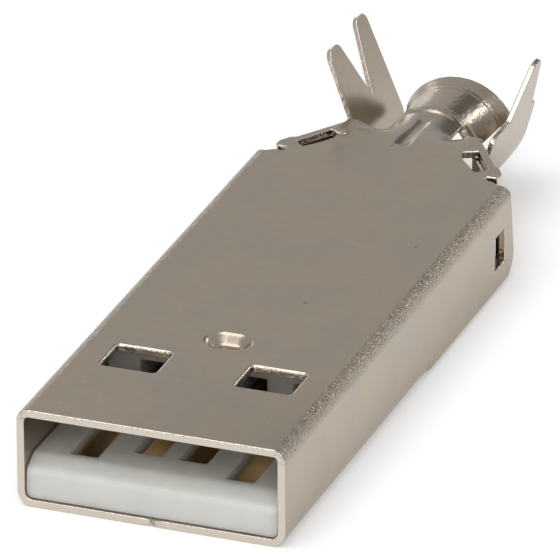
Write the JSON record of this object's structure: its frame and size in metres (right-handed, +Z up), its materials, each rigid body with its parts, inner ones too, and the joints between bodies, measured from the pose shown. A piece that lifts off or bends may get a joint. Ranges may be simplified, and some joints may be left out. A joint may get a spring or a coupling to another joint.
{
  "type": "usb-a plug",
  "caption": "Bare solder-type USB-A cable plug: folded metal shell with latch holes and a cable collar, open crimp wings at the back, a white insulator and gold contacts.",
  "frame": {"origin": "centre of the mouth, in the plane of its front edge and at half the height of the shell", "axes": "+Y from the mouth to the cable end, +Z up to the face with the stop dimple and the neck, +X to the side of the single wing; it plugs in towards -Y"},
  "size_m": [0.012, 0.0388, 0.007],
  "materials": {
    "nickel": "satin nickel plate on folded steel sheet",
    "white_plastic": "smooth moulded white plastic",
    "gold": "gold plate on copper alloy strip"
  },
  "bodies": {
    "root": {"outer_shell": "nickel", "clamp_tray": "nickel", "insulator": "white_plastic", "contact_vbus": "gold", "contact_dminus": "gold", "contact_dplus": "gold", "contact_gnd": "gold"}
  },
  "joints": []
}
